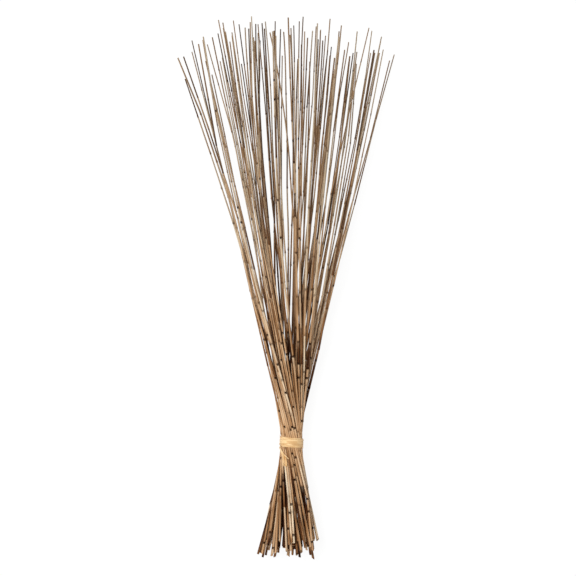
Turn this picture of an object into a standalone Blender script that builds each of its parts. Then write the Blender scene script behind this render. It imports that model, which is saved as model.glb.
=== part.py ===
"""A bunch of dried reeds lying on a table, wound near its foot with raffia.

The bunch lies along Y with its cut butts towards -Y and its fanned tips towards +Y. Its reeds run
almost straight, and together they turn a quarter turn on their way from the tie to the tips, as in a
sheaf that was twisted before it was tied. The lower reeds of the fan bend and lie along the table.
Sizes in the constants are in millimetres. The model itself is in metres, +Z up.
"""

import math

import bpy
import numpy as np
from mathutils import Matrix

MM = 0.001

# The fan. Distances along the bunch are measured from the middle of the tie.
SHOULDER_Y = 573.0  # the level where each reed's sideways place is given, below the tips
FAN_SLOPE = 0.285  # how fast the outermost reeds leave the bunch's axis
FAN_LEAN = -0.012  # the fan's axis leans a little to the left
DEPTH_STEP = 0.618034  # the golden ratio, which spreads neighbours evenly through the depth

# Each reed: the tip's place sideways, the tip's distance from the tie, the place at the shoulder.
REEDS = [
    (-196, 668, -161), (-210, 708, -156), (-198, 707, -151.5), (-184, 719, -147),
    (-184, 740, -144.5), (-171, 731, -142), (-164, 741, -133.5), (-161, 741, -131.5),
    (-158, 701, -127), (-147, 677, -124), (-154, 728, -111.5), (-145, 746, -109),
    (-132, 702, -104), (-128, 706, -103), (-135, 778, -99), (-134, 746, -97),
    (-128, 773, -95), (-126, 763, -93.5), (-121, 752, -91.5), (-114, 738, -87.5),
    (-108, 740, -86.5), (-104, 719, -86), (-110, 755, -81), (-106, 770, -77),
    (-93, 697, -75), (-97, 770, -73), (-86, 760, -71), (-79, 762, -69),
    (-75, 765, -66), (-72, 784, -62.5), (-70, 746, -62), (-67, 734, -61),
    (-65, 690, -58), (-62, 754, -57), (-65, 768, -56), (-58, 740, -55.5),
    (-61, 762, -46.5), (-54, 772, -42.5), (-50, 762, -40), (-48, 708, -38),
    (-47, 775, -36), (-34, 747, -32), (-31, 774, -28.5), (-31, 758, -25),
    (-28, 742, -23), (-20, 761, -21), (-17, 712, -18.5), (-39, 751, -9.5),
    (-15, 756, -8), (-6, 773, 2), (-3, 750, 4), (-1, 763, 5),
    (4, 762, 6.5), (12, 706, 8.5), (14, 764, 12.5), (19, 730, 15),
    (22, 784, 17), (24, 749, 19), (31, 745, 21.5), (39, 758, 29),
    (34, 697, 29.5), (44, 766, 34.5), (47, 762, 38.5), (50, 741, 41),
    (54, 760, 43), (53, 752, 45), (57, 740, 47), (63, 749, 49),
    (67, 719, 51), (72, 780, 52.5), (70, 705, 58.5), (75, 728, 60),
    (80, 708, 65), (81, 683, 66.5), (87, 757, 68), (86, 738, 69.5),
    (92, 766, 71), (86, 716, 73), (97, 717, 78.5), (107, 737, 82.5),
    (106, 701, 91), (107, 708, 92.5), (114, 717, 94.5), (141, 756, 96.5),
    (121, 756, 99.5), (121, 719, 101.5), (117, 696, 105), (120, 697, 111.5),
    (139, 677, 121.5), (148, 756, 123), (145, 717, 124.5), (151, 718, 126.5),
    (154, 717, 128.5), (167, 747, 130), (164, 736, 131.5), (162, 717, 133),
    (168, 719, 141), (181, 702, 146.5), (190, 714, 152),
]
MODELLED = 58  # the reeds farthest from the bunch's axis are solids, and the rest only keep their room

# One reed.
THICKNESS_AT = (-215.0, -40.0, 180.0, 573.0, 790.0)  # distances from the tie
HALF_THICKNESS = (2.3, 1.56, 1.52, 1.10, 0.94)
THINNEST = 0.84  # most reeds are a little thinner than average
THICKEST = 1.38
THICK_RARITY = 2.5  # and the higher this is, the fewer are thick
JOINTS = 6
JOINT_HALF_LENGTH = 0.8
BELOW_JOINT = 0.93  # a reed is thinnest just below a joint and thickest just above it
ABOVE_JOINT = 1.10
INTERNODE_GROWTH = 0.09  # each internode is this much longer than the one below it
INTERNODE_SPREAD = 0.14
KINK = 1.3  # how far a joint stands out of the straight line
BUTT_Y = -220.0  # the lowest butts
BUTT_SPREAD = 40.0  # and how far above them the highest are
BUTT_POWER = 0.6  # the lower this is, the fewer butts are among the lowest
SIDE_BUTT_RISE = 10.0  # the butts at the two sides of the foot end this much higher up
FOOT_MIDDLE = -4.0
FOOT_HALF_WIDTH = 50.0
RISE_POWER = 8.0  # the higher this is, the fewer butts rise
BUTT_NARROWING = 0.84  # below the tie the reeds spread less than above it
BUTT_LEAN = 0.026  # and they lean a little to the left

# Lying on the table.
TIE_HEIGHT = 46.0
SAG = 38.0
SAG_AT = 700.0
SAG_POWER = 2.2
BED_SOFTNESS = 5.0  # how gently the lower reeds bend onto the table

# The tie.
TIE_RADIUS = 20.0
CONTACT_GAP = 0.28
HELD = 10.0  # the reeds are held this far each way from the middle of the tie
BAND_CLEARANCE = 0.4
BAND_TURNS = ((-9.7, -3.9, 1.2), (-3.9, 3.0, 1.6), (3.0, 7.9, 1.3))  # from, to and wall of each turn
BAND_SLANT = -0.08  # how far the turns run along the bunch for each step to the right
BAND_STEPS = 22
TAIL_WALL = 0.7
TAIL_CLEARANCE = 0.9  # between the raffia's end and the reeds under it
# The raffia's end: degrees left of the top, place along the bunch, width.
TAIL = ((72, -7.0, 4.6), (69, -11.5, 4.6), (60, -14.2, 4.5), (52, -16.8, 4.4), (41, -20.5, 4.4),
        (31, -25.5, 4.4), (26, -32.0, 5.2), (24, -39.0, 5.0), (23, -45.0, 2.4))
TAIL_SPLIT = ((24, -26.5, 1.8), (13, -31.0, 1.2))  # the thin strand that leaves the tail's right edge
SPLIT_AT = 4  # the place on the tail where that strand leaves it
ACROSS_STRIP = (0.5, 0.25, 0.0, -0.25, -0.5)  # where the reeds under a strip are felt for, left to right

# Settling: reeds that touch push each other apart.
STATION_STEP = 10.0
SLANT_ALLOWANCE = 1.04  # a slanting reed's level section is this much wider than the reed
ROUNDS = 420
CLEARING_ROUNDS = 260
LOOK_AGAIN = 20
NEAR = 4.0
PULL = 0.015
STIFFNESS = 0.12


def thickness(y):
    """Half the thickness of an average reed at a distance from the tie."""
    return np.interp(y, THICKNESS_AT, HALF_THICKNESS)


def fan_directions():
    """Each reed's slope sideways and in depth, so that the fan is round."""
    reeds = np.array(REEDS, float)
    sideways = reeds[:, 2] / SHOULDER_Y
    reach = np.sqrt(np.maximum(FAN_SLOPE**2 - (sideways - FAN_LEAN) ** 2, 0.0))
    layer = 2.0 * ((np.arange(len(reeds)) + 1) * DEPTH_STEP % 1.0) - 1.0
    return sideways, reach * layer


def pushed_apart(places, room, limit):
    """Discs with these half widths, moved until they lie side by side inside a circle."""
    places = places.copy()
    for _ in range(3000):
        apart = places[:, None, :] - places[None, :, :]
        distance = np.linalg.norm(apart, axis=2) + np.eye(len(places)) * 1e9
        short = np.maximum(room[:, None] + room[None, :] - distance, 0.0)
        places += 0.35 * (apart / distance[:, :, None] * short[:, :, None]).sum(axis=1)
        from_axis = np.linalg.norm(places, axis=1)
        over = np.maximum(from_axis + room - limit, 0.0)
        places -= places / np.maximum(from_axis, 1e-6)[:, None] * over[:, None]
    return places


def tie_places(sideways, depth, room):
    """Each reed's place in the tie: its place in the fan, shrunk and given a quarter turn."""
    shrink = (TIE_RADIUS - room.max()) / FAN_SLOPE
    turned = np.stack([depth, FAN_LEAN - sideways], axis=1) * shrink
    return pushed_apart(turned, room, TIE_RADIUS)


def node_levels(rng, start_x):
    """Distances from the tie of each reed's butt, joints and tip."""
    reeds = np.array(REEDS, float)
    foot_x = start_x + (BUTT_NARROWING * reeds[:, 2] / SHOULDER_Y + BUTT_LEAN) * BUTT_Y
    outward = np.minimum(abs(foot_x - FOOT_MIDDLE) / FOOT_HALF_WIDTH, 1.0) ** RISE_POWER
    butts = BUTT_Y + SIDE_BUTT_RISE * outward + BUTT_SPREAD * rng.random(len(reeds)) ** BUTT_POWER
    tips = reeds[:, 1]
    lengths = 1.0 + INTERNODE_GROWTH * np.arange(JOINTS + 1)
    lengths = lengths * (1.0 + rng.uniform(-1, 1, (len(reeds), JOINTS + 1)) * INTERNODE_SPREAD)
    lengths[:, 0] *= rng.uniform(0.45, 1.0, len(reeds))
    lengths[:, -1] *= rng.uniform(0.6, 1.1, len(reeds))
    share = np.cumsum(lengths, axis=1) / lengths.sum(axis=1)[:, None]
    levels = butts[:, None] + (tips - butts)[:, None] * share
    return np.concatenate([butts[:, None], levels], axis=1)


def straight_paths(y, places, depth):
    """Places of every node before the bunch is laid down: straight, with a bow towards the tip."""
    reeds = np.array(REEDS, float)
    tip_x, tip_y, shoulder_x = reeds.T
    start_x = places[:, 0]
    mean = (shoulder_x - start_x) / SHOULDER_Y
    bow = ((tip_x - start_x) / tip_y - mean) / (tip_y**2 - SHOULDER_Y**2)
    slope = mean - bow * SHOULDER_Y**2
    above = np.maximum(y, 0.0)
    below = np.minimum(y, 0.0)
    spread = above + BUTT_NARROWING * below
    x = start_x[:, None] + slope[:, None] * spread + bow[:, None] * above**3 + BUTT_LEAN * below
    rise = (depth * SHOULDER_Y - places[:, 1]) / SHOULDER_Y
    z = places[:, 1][:, None] + rise[:, None] * spread
    return np.stack([x, z], axis=2)


def laid_down(paths, y, half):
    """The bunch on the table: the reeds sag towards their tips, and bend softly onto the table."""
    height = TIE_HEIGHT + paths[:, :, 1] - SAG * (np.maximum(y, 0.0) / SAG_AT) ** SAG_POWER
    over = (height - half) / BED_SOFTNESS
    laid = paths.copy()
    laid[:, :, 1] = half + BED_SOFTNESS * np.logaddexp(0.0, over)
    return laid


def stations(y, half):
    """For each level across the bunch: the node below it, how far past that node, and the thickness."""
    levels = np.arange(y.min(), y.max(), STATION_STEP)
    below = (y[:, :, None] <= levels).sum(axis=1) - 1
    inside = (below >= 0) & (below < y.shape[1] - 1)
    below = np.clip(below, 0, y.shape[1] - 2)
    rows = np.arange(len(y))[:, None]
    past = (levels - y[rows, below]) / (y[rows, below + 1] - y[rows, below])
    from_half = half[rows, below] * np.where(below > 0, ABOVE_JOINT, 1.0)
    to_half = half[rows, below + 1] * np.where(below < JOINTS, BELOW_JOINT, 1.0)
    return levels, below, past, from_half + (to_half - from_half) * past, inside


def settled(paths, y, half):
    """The paths after reeds that touch have pushed each other apart, off the table and out of the tie.

    Every reed is looked at where it crosses each level. A push at a level moves the nodes above and
    below it. Between pushes each reed is pulled back towards its own line and smoothed along it."""
    levels, below, past, room, inside = stations(y, half)
    room = room * SLANT_ALLOWANCE
    rows = np.arange(len(y))[:, None]
    first, second = np.triu_indices(len(y), 1)
    in_tie = inside & (abs(levels) < HELD + STATION_STEP / 2)
    centre = np.array([0.0, TIE_HEIGHT])
    target = paths.copy()
    paths = paths.copy()
    least_height = half * ABOVE_JOINT
    between = (y[:, 1:-1] - y[:, :-2]) / (y[:, 2:] - y[:, :-2])
    for turn in range(ROUNDS + CLEARING_ROUNDS):
        crossing = paths[rows, below] * (1 - past)[:, :, None] + paths[rows, below + 1] * past[:, :, None]
        if turn % LOOK_AGAIN == 0:
            gap = np.linalg.norm(crossing[first] - crossing[second], axis=2)
            close = (gap < room[first] + room[second] + NEAR) & inside[first] & inside[second]
            pair, level = np.nonzero(close)
            one, other = first[pair], second[pair]
            wanted = room[one, level] + room[other, level] + CONTACT_GAP
        apart = crossing[one, level] - crossing[other, level]
        distance = np.maximum(np.linalg.norm(apart, axis=1), 1e-6)
        short = wanted - distance
        hit = short > 0
        push = apart[hit] * (0.5 * short[hit] / distance[hit])[:, None]
        moves = np.zeros_like(crossing)
        counts = np.zeros(crossing.shape[:2])
        for rods, sign in ((one[hit], 1.0), (other[hit], -1.0)):
            np.add.at(moves, (rods, level[hit]), sign * push)
            np.add.at(counts, (rods, level[hit]), 1.0)
        from_axis = crossing - centre
        radial = np.maximum(np.linalg.norm(from_axis, axis=2), 1e-6)
        over = np.where(in_tie, np.maximum(radial + room - TIE_RADIUS, 0.0), 0.0)
        moves -= from_axis / radial[:, :, None] * (over * 2.0)[:, :, None]
        counts += (over > 0) * 2.0
        node_moves = np.zeros_like(paths)
        node_weights = np.full(paths.shape[:2], 1e-9)
        touched = counts > 0
        rod, at = np.nonzero(touched)
        step = moves[rod, at] / counts[rod, at][:, None] * 1.4
        for offset, weight in ((0, 1 - past[rod, at]), (1, past[rod, at])):
            node = below[rod, at] + offset
            np.add.at(node_moves, (rod, node), step * weight[:, None])
            np.add.at(node_weights, (rod, node), weight)
        paths += node_moves / np.maximum(node_weights, 0.25)[:, :, None]
        if turn < ROUNDS:
            drift = target - paths
            bridge = drift[:, :-2] + (drift[:, 2:] - drift[:, :-2]) * between[:, :, None]
            paths[:, 1:-1] += STIFFNESS * (drift[:, 1:-1] - bridge)
            paths += PULL * (target - paths)
        paths[:, :, 1] = np.maximum(paths[:, :, 1], least_height)
    return paths


def bunch():
    """Node levels, half thicknesses and settled places of all the reeds, in millimetres."""
    rng = np.random.default_rng(7)
    sideways, depth = fan_directions()
    scale = THINNEST + (THICKEST - THINNEST) * rng.uniform(0, 1, len(REEDS)) ** THICK_RARITY
    room = thickness(0.0) * scale * SLANT_ALLOWANCE + CONTACT_GAP / 2
    places = tie_places(sideways, depth, room)
    y = node_levels(rng, places[:, 0])
    half = thickness(y) * scale[:, None]
    paths = straight_paths(y, places, depth)
    paths[:, 1:-1] += rng.normal(0, KINK, paths[:, 1:-1].shape) * (abs(y[:, 1:-1]) > 60)[:, :, None]
    paths = settled(laid_down(paths, y, half), y, half)
    outward = np.hypot(sideways - FAN_LEAN, depth)
    outer = np.sort(np.argsort(-outward, kind="stable")[:MODELLED])
    return y, half, paths, outer


def material(name, colour, roughness):
    """A plain finish: colour, no metal, and a roughness."""
    made = bpy.data.materials.new(name)
    made.use_nodes = True
    shader = made.node_tree.nodes["Principled BSDF"]
    shader.inputs["Base Color"].default_value = (*colour, 1.0)
    shader.inputs["Roughness"].default_value = roughness
    shader.inputs["Metallic"].default_value = 0.0
    return made


def reed_points(y, half, path):
    """Points and half thicknesses along one reed: it steps out just above each joint."""
    nodes = np.column_stack([path[:, 0], y, path[:, 1]])
    points = [nodes[0]]
    halves = [half[0]]
    for joint in range(1, JOINTS + 1):
        down = nodes[joint - 1] - nodes[joint]
        up = nodes[joint + 1] - nodes[joint]
        points.append(nodes[joint] + down / np.linalg.norm(down) * JOINT_HALF_LENGTH)
        halves.append(half[joint] * BELOW_JOINT)
        points.append(nodes[joint] + up / np.linalg.norm(up) * JOINT_HALF_LENGTH)
        halves.append(half[joint] * ABOVE_JOINT)
    points.append(nodes[-1])
    halves.append(half[-1])
    return points, halves


def add_reed(name, points, halves, finish, collection):
    """One reed: a curve through its joints, six sided and cut flat at both ends."""
    curve = bpy.data.curves.new(name, "CURVE")
    curve.dimensions = "3D"
    curve.bevel_depth = MM
    curve.bevel_resolution = 1
    curve.use_fill_caps = True
    curve.materials.append(finish)
    spline = curve.splines.new("POLY")
    spline.points.add(len(points) - 1)
    for point, place, half in zip(spline.points, points, halves):
        point.co = (*(place * MM), 1.0)
        point.radius = half
    reed = bpy.data.objects.new(name, curve)
    collection.objects.link(reed)
    return reed


def add_band(finish, collection):
    """The wound turns: a turned ring whose outside steps from turn to turn, slanting across the bunch."""
    inner = (TIE_RADIUS + BAND_CLEARANCE) / math.cos(math.pi / BAND_STEPS)
    profile = [(inner, BAND_TURNS[-1][1])]
    for start, end, wall in reversed(BAND_TURNS):
        profile += [(inner + wall, end), (inner + wall, start)]
    profile.append((inner, BAND_TURNS[0][0]))
    section = bpy.data.meshes.new("band_section")
    corners = [(radius * MM, 0.0, height * MM) for radius, height in profile]
    edges = [(i, (i + 1) % len(corners)) for i in range(len(corners))]
    section.from_pydata(corners, edges, [])
    turned = bpy.data.objects.new("band_section", section)
    collection.objects.link(turned)
    screw = turned.modifiers.new("turn", "SCREW")
    screw.steps = BAND_STEPS
    screw.render_steps = BAND_STEPS
    screw.use_merge_vertices = True
    screw.merge_threshold = 0.0001
    mesh = bpy.data.meshes.new_from_object(turned.evaluated_get(bpy.context.evaluated_depsgraph_get()))
    bpy.data.objects.remove(turned)
    along_y = Matrix.Rotation(math.radians(-90.0), 4, "X")
    slanting = Matrix.Identity(4)
    slanting[1][0] = BAND_SLANT
    mesh.transform(Matrix.Translation((0.0, 0.0, TIE_HEIGHT * MM)) @ slanting @ along_y)
    mesh.materials.append(finish)
    band = bpy.data.objects.new("raffia_tie", mesh)
    collection.objects.link(band)
    return band


def reach_of_reeds(angle, along, y, half, paths):
    """How far from the bunch's axis the reeds stand out in one direction at one level."""
    farthest = TIE_RADIUS
    for row in range(len(y)):
        if not y[row, 0] < along < y[row, -1]:
            continue
        x = np.interp(along, y[row], paths[row, :, 0])
        rise = np.interp(along, y[row], paths[row, :, 1]) - TIE_HEIGHT
        radius = np.interp(along, y[row], half[row]) * ABOVE_JOINT + TAIL_CLEARANCE
        aside = x * math.cos(angle) + rise * math.sin(angle)
        out = rise * math.cos(angle) - x * math.sin(angle)
        if abs(aside) < radius:
            farthest = max(farthest, out + math.sqrt(radius**2 - aside**2))
    return farthest


def strip_edges(route, reeds):
    """The two edges of a flat strip laid on the reeds, along a route of (angle, along, width)."""
    angle, along, width = np.array(route).T
    middle = np.column_stack([np.radians(angle) * TIE_RADIUS, along])
    heading = np.gradient(middle, axis=0)
    across = np.column_stack([-heading[:, 1], heading[:, 0]]) / np.linalg.norm(heading, axis=1)[:, None]
    left = []
    right = []
    for place, step in zip(middle, across * width[:, None]):
        samples = [place + step * share for share in ACROSS_STRIP]
        radius = max(reach_of_reeds(arc / TIE_RADIUS, level, *reeds) for arc, level in samples)
        for edge, (arc, level) in ((left, samples[0]), (right, samples[-1])):
            turn = arc / TIE_RADIUS
            height = TIE_HEIGHT + radius * math.cos(turn)
            edge.append((-radius * math.sin(turn) * MM, level * MM, height * MM))
    return left, right


def add_tail(reeds, collection):
    """The raffia's split end: one forked sheet with a thickness, to be fused with the wound turns."""
    left, right = strip_edges(TAIL, reeds)
    split_left, split_right = strip_edges(TAIL_SPLIT, reeds)
    count = len(left)
    faces = [(i, i + 1, count + i + 1, count + i) for i in range(count - 1)]
    fork = count + SPLIT_AT
    branch = 2 * count
    faces.append((fork, fork + 1, branch, branch + 2))
    faces.append((branch + 2, branch, branch + 1, branch + 3))
    mesh = bpy.data.meshes.new("raffia_tail")
    mesh.from_pydata(left + right + split_left + split_right, [], faces)
    tail = bpy.data.objects.new("raffia_tail", mesh)
    tail.hide_render = True
    tail.display_type = "WIRE"
    collection.objects.link(tail)
    wall = tail.modifiers.new("wall", "SOLIDIFY")
    wall.thickness = TAIL_WALL * MM
    wall.offset = 1.0
    return tail


def fuse(target, other):
    """Joins another shape to the tie."""
    union = target.modifiers.new("with_" + other.name, "BOOLEAN")
    union.operation = "UNION"
    union.object = other


def world_box(objects):
    """Lowest and highest corner of the finished shapes."""
    graph = bpy.context.evaluated_depsgraph_get()
    low = np.full(3, np.inf)
    high = -low
    for obj in objects:
        shape = obj.evaluated_get(graph)
        mesh = shape.to_mesh()
        points = np.array([shape.matrix_world @ v.co for v in mesh.vertices])
        low = np.minimum(low, points.min(axis=0))
        high = np.maximum(high, points.max(axis=0))
        shape.to_mesh_clear()
    return low, high


def main():
    for obj in list(bpy.data.objects):
        bpy.data.objects.remove(obj)
    parts = bpy.data.collections.new("bunch_of_reeds")
    cutters = bpy.data.collections.new("cutters")
    bpy.context.scene.collection.children.link(parts)
    bpy.context.scene.collection.children.link(cutters)
    reed_finish = material("dried_reed", (0.33, 0.22, 0.13), 0.6)
    raffia = material("raffia", (0.78, 0.58, 0.30), 0.7)

    y, half, paths, outer = bunch()
    made = []
    for number, row in enumerate(outer, start=1):
        points, halves = reed_points(y[row], half[row], paths[row])
        made.append(add_reed(f"reed_{number:02d}", points, halves, reed_finish, parts))

    band = add_band(raffia, parts)
    fuse(band, add_tail((y, half, paths), cutters))
    made.append(band)

    base = bpy.data.objects.new("bunch_of_reeds", None)
    parts.objects.link(base)
    for obj in made + list(cutters.objects):
        obj.parent = base
    bpy.context.view_layer.update()
    low, high = world_box(made)
    base.location = (-(low[0] + high[0]) / 2, -(low[1] + high[1]) / 2, -low[2])


main()
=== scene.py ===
"""A bunch of dried reeds lying on a pale floor, wound near its foot with raffia.

The outer reeds stand for the solids of the frame and follow their lines. The inner reeds, which the
outer ones and the tie hold, are laid between them here. Lengths in the constants are in millimetres
unless they say otherwise, and the scene is in metres.
"""

import math

import bpy
import numpy as np
from bpy.props import FloatProperty, FloatVectorProperty, PointerProperty
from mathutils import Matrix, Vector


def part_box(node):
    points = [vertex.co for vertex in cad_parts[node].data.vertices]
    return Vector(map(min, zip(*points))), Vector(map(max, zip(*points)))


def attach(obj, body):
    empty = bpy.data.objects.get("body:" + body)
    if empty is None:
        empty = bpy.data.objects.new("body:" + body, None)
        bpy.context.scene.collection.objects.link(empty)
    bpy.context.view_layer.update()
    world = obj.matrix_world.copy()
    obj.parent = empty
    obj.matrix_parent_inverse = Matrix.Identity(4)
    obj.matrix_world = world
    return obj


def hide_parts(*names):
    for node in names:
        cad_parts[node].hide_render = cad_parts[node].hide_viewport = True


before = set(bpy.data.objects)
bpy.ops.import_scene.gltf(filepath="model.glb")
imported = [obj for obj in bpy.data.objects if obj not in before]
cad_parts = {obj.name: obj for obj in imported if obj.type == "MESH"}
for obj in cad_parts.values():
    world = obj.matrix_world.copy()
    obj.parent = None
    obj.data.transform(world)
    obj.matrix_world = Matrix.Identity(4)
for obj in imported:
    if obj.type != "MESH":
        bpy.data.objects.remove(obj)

bl_info = {
    "name": "Bunch of reeds",
    "version": (1, 0, 0),
    "blender": (4, 5, 0),
    "location": "View3D > Sidebar > Reeds",
    "description": "Builds a lying bunch of dried reeds with its raffia tie",
    "category": "Add Mesh",
}

MM = 0.001

# Settings that several nodes share.
SMOOTH = {"interpolation_type": "SMOOTHSTEP"}
TIMES = {"operation": "MULTIPLY"}

# The frame. The tie is where the solids have it.
TIE_HEIGHT = 45.9
BAND_SLANT = -0.08
BAND_TOP = 9.65  # from the middle of the tie to the band's highest corner along the bunch
RINGS_OF_SOLID = 14
SIDES_OF_SOLID = 6
RING_TOLERANCE = 0.2  # how uneven a ring may be

# Every reed of the bunch: the tip's place sideways, the tip's distance from the tie, and the place
# sideways at the shoulder. The frame's reeds are those farthest from the axis, and the rest are inner.
REEDS = (
    (-196, 668, -161), (-210, 708, -156), (-198, 707, -151.5), (-184, 719, -147),
    (-184, 740, -144.5), (-171, 731, -142), (-164, 741, -133.5), (-161, 741, -131.5),
    (-158, 701, -127), (-147, 677, -124), (-154, 728, -111.5), (-145, 746, -109),
    (-132, 702, -104), (-128, 706, -103), (-135, 778, -99), (-134, 746, -97),
    (-128, 773, -95), (-126, 763, -93.5), (-121, 752, -91.5), (-114, 738, -87.5),
    (-108, 740, -86.5), (-104, 719, -86), (-110, 755, -81), (-106, 770, -77),
    (-93, 697, -75), (-97, 770, -73), (-86, 760, -71), (-79, 762, -69),
    (-75, 765, -66), (-72, 784, -62.5), (-70, 746, -62), (-67, 734, -61),
    (-65, 690, -58), (-62, 754, -57), (-65, 768, -56), (-58, 740, -55.5),
    (-61, 762, -46.5), (-54, 772, -42.5), (-50, 762, -40), (-48, 708, -38),
    (-47, 775, -36), (-34, 747, -32), (-31, 774, -28.5), (-31, 758, -25),
    (-28, 742, -23), (-20, 761, -21), (-17, 712, -18.5), (-39, 751, -9.5),
    (-15, 756, -8), (-6, 773, 2), (-3, 750, 4), (-1, 763, 5),
    (4, 762, 6.5), (12, 706, 8.5), (14, 764, 12.5), (19, 730, 15),
    (22, 784, 17), (24, 749, 19), (31, 745, 21.5), (39, 758, 29),
    (34, 697, 29.5), (44, 766, 34.5), (47, 762, 38.5), (50, 741, 41),
    (54, 760, 43), (53, 752, 45), (57, 740, 47), (63, 749, 49),
    (67, 719, 51), (72, 780, 52.5), (70, 705, 58.5), (75, 728, 60),
    (80, 708, 65), (81, 683, 66.5), (87, 757, 68), (86, 738, 69.5),
    (92, 766, 71), (86, 716, 73), (97, 717, 78.5), (107, 737, 82.5),
    (106, 701, 91), (107, 708, 92.5), (114, 717, 94.5), (141, 756, 96.5),
    (121, 756, 99.5), (121, 719, 101.5), (117, 696, 105), (120, 697, 111.5),
    (139, 677, 121.5), (148, 756, 123), (145, 717, 124.5), (151, 718, 126.5),
    (154, 717, 128.5), (167, 747, 130), (164, 736, 131.5), (162, 717, 133),
    (168, 719, 141), (181, 702, 146.5), (190, 714, 152),
)
SHOULDER = 573.0  # the level where each reed's sideways place is given
FAN_SLOPE = 0.285  # how fast the outermost reeds leave the bunch's axis
FAN_LEAN = -0.012  # the fan's axis leans a little to the left
DEPTH_STEP = 0.618034  # the golden ratio, which spreads neighbours through the depth
TIE_RADIUS = 20.0
TIE_MARGIN = 2.5  # the middle of the outermost reed is this far inside the tie
BUTT_NARROWING = 0.84  # below the tie the reeds spread less than above it
BUTT_LEAN = 0.026  # and they lean a little to the left
BUTT_AT = (-220.0, -180.0)  # from the lowest butts to the highest
BUTT_POWER = 0.6  # the lower this is, the fewer butts are among the lowest
SAG = 38.0  # how far the fan has sunk at SAG_AT
SAG_AT = 700.0
SAG_POWER = 2.2
BED_SOFTNESS = 5.0  # how gently the lower reeds bend onto the floor
THICKNESS_AT = (-215.0, -40.0, 180.0, 573.0, 790.0)
HALF_THICKNESS = (2.3, 1.56, 1.52, 1.1, 0.94)
INNER_THICKNESS = (0.84, 1.12)  # the thinnest and thickest inner reed, as shares of that
INNER_JOINTS = 6
JOINT_WANDER = 22.0  # how far an inner reed's joints lie from being evenly spread
KINK = 1.1  # how far a reed strays from its line
KINKS_FROM_TO = (-220.0, 800.0)
KINKS = 13
STRAIGHT_AT_TIE = 60.0  # but not this near the tie
LEVEL_STEP = 10.0
ROUNDS = 260
PUSH = 1.3  # a place goes this many times the mean of its pushes
STRETCH = 0.22  # how strongly a reed straightens itself between pushes
PULL = 0.02  # and goes back to where it started
CONTACT = 0.1  # the gap between two reeds

# One reed's skin: where its rings of points lie above and below a joint, and in the stretch between.
SIDES = 12
EASED = 3.0  # a reed's way at a place is taken over this far each way
ABOVE_JOINT = (0.0, 0.45, 1.0, 1.9, 4.0, 9.0)
BELOW_JOINT = (0.3, 0.8, 1.6, 5.0)
BETWEEN = (0.2, 0.4, 0.6, 0.8)
NEAR_JOINT = 0.4  # the most of an internode that the rings near a joint take up
NO_JOINT = 60.0  # the distance that stands for none
EXTRA_JOINT_FROM = 125.0  # a longer internode of a solid gets a joint between
EXTRA_JOINT_AT = (0.42, 0.56)
JOINT_RING = 0.75  # how far each way a joint's ring stands out
SWOLLEN = (0.05, 6.0)  # a reed is this much thicker above a joint, and how far up
DRAWN_IN = (0.05, 4.0)  # and thinner below one
BUD_WIDTH = 0.55  # in radians round the reed
BUD_RISE, BUD_LENGTH = 1.3, 1.5
# The hollow at the butt, ring by ring: how deep, its share of the thickness, and how pale it is.
# Its paleness is painted light: the hollow is painted darker the deeper it goes, as painted shade.
HOLLOW = ((5.0, 0.5, 0.0), (0.15, 0.56, 0.4), (0.0, 0.64, 0.9), (0.0, 0.97, 1.0))
RIM = 0.12  # how far the cut's edge is rounded
TIP = (0.25, 0.72)  # how far the tip stands out, and its share of the thickness
SLANTED_CUT = 1.1  # the steepest cut, as a slope across the stem
# Tones, where 1 is the palest straw.
REED_SPREAD = 0.19
REED_TONES = (0.1, 0.95)
INTERNODE_SPREAD = 0.08
STAIN = 0.4  # how much darker a stained internode is
EVEN_NEAR_TIE = 38.0  # the reeds are more alike in tone and less stained this near the tie
EVEN_TONE = 0.85  # the share of their differences that is gone there
EVEN_STAINS = 0.8
FOOT_SHARE = 0.26  # the share of a reed, from the butt, that grows darker towards the butt
INNER_FOOT_PAINTED_SHADE = 4.0  # painted shade: how much darker the inner reeds are there, for each step of their painted shade
# How much lighter the reeds are at some shares of their length, seen from the butt: painted shade, darker at
# the foot and above the tie where the reeds crowd, and painted light, lighter where the fan opens.
TONE_AT = (0.0, 0.03, 0.085, 0.22, 0.33, 0.48, 0.63, 0.9)
PAINTED_SHADE_AND_LIGHT = (0.0, -0.014, -0.125, -0.05, -0.12, 0.02, 0.085, 0.02)
TONE_SPREAD = (0.0, 0.0, 0.7, 0.0, 0.0, 0.0, 0.3, 0.6)  # how much more the reeds differ there
INNER_PAINTED_GAIN = 20.0  # how much more of that painted shade and light the inner reeds have, for each step of their painted shade
# How dark the rings at the joints are, seen from the butt: fainter in the foot and towards the tip.
MARK_AT = (0.0, 0.2, 0.3, 0.5, 1.0)
MARK_STRENGTH = (0.45, 0.45, 1.0, 1.0, 0.5)
DARK_BUTTS = 0.12  # the share of the butts that soaked up water and went dark
DARK_BUTT = (0.2, 0.6)  # how much darker
DARK_BUTT_REACH = 14.0
MARKS = (0.1, 1.15)  # the faintest and the darkest ring
MARK_MOST = 0.9  # for a ring that isn't seen plainest
BEHIND_BUD = 0.4  # how dark a ring is on the side away from its bud
BUD_SIDE = 2.0
UNLIKE = 50000.0  # a reed's streaks start somewhere along this, so that no two reeds are alike
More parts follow.
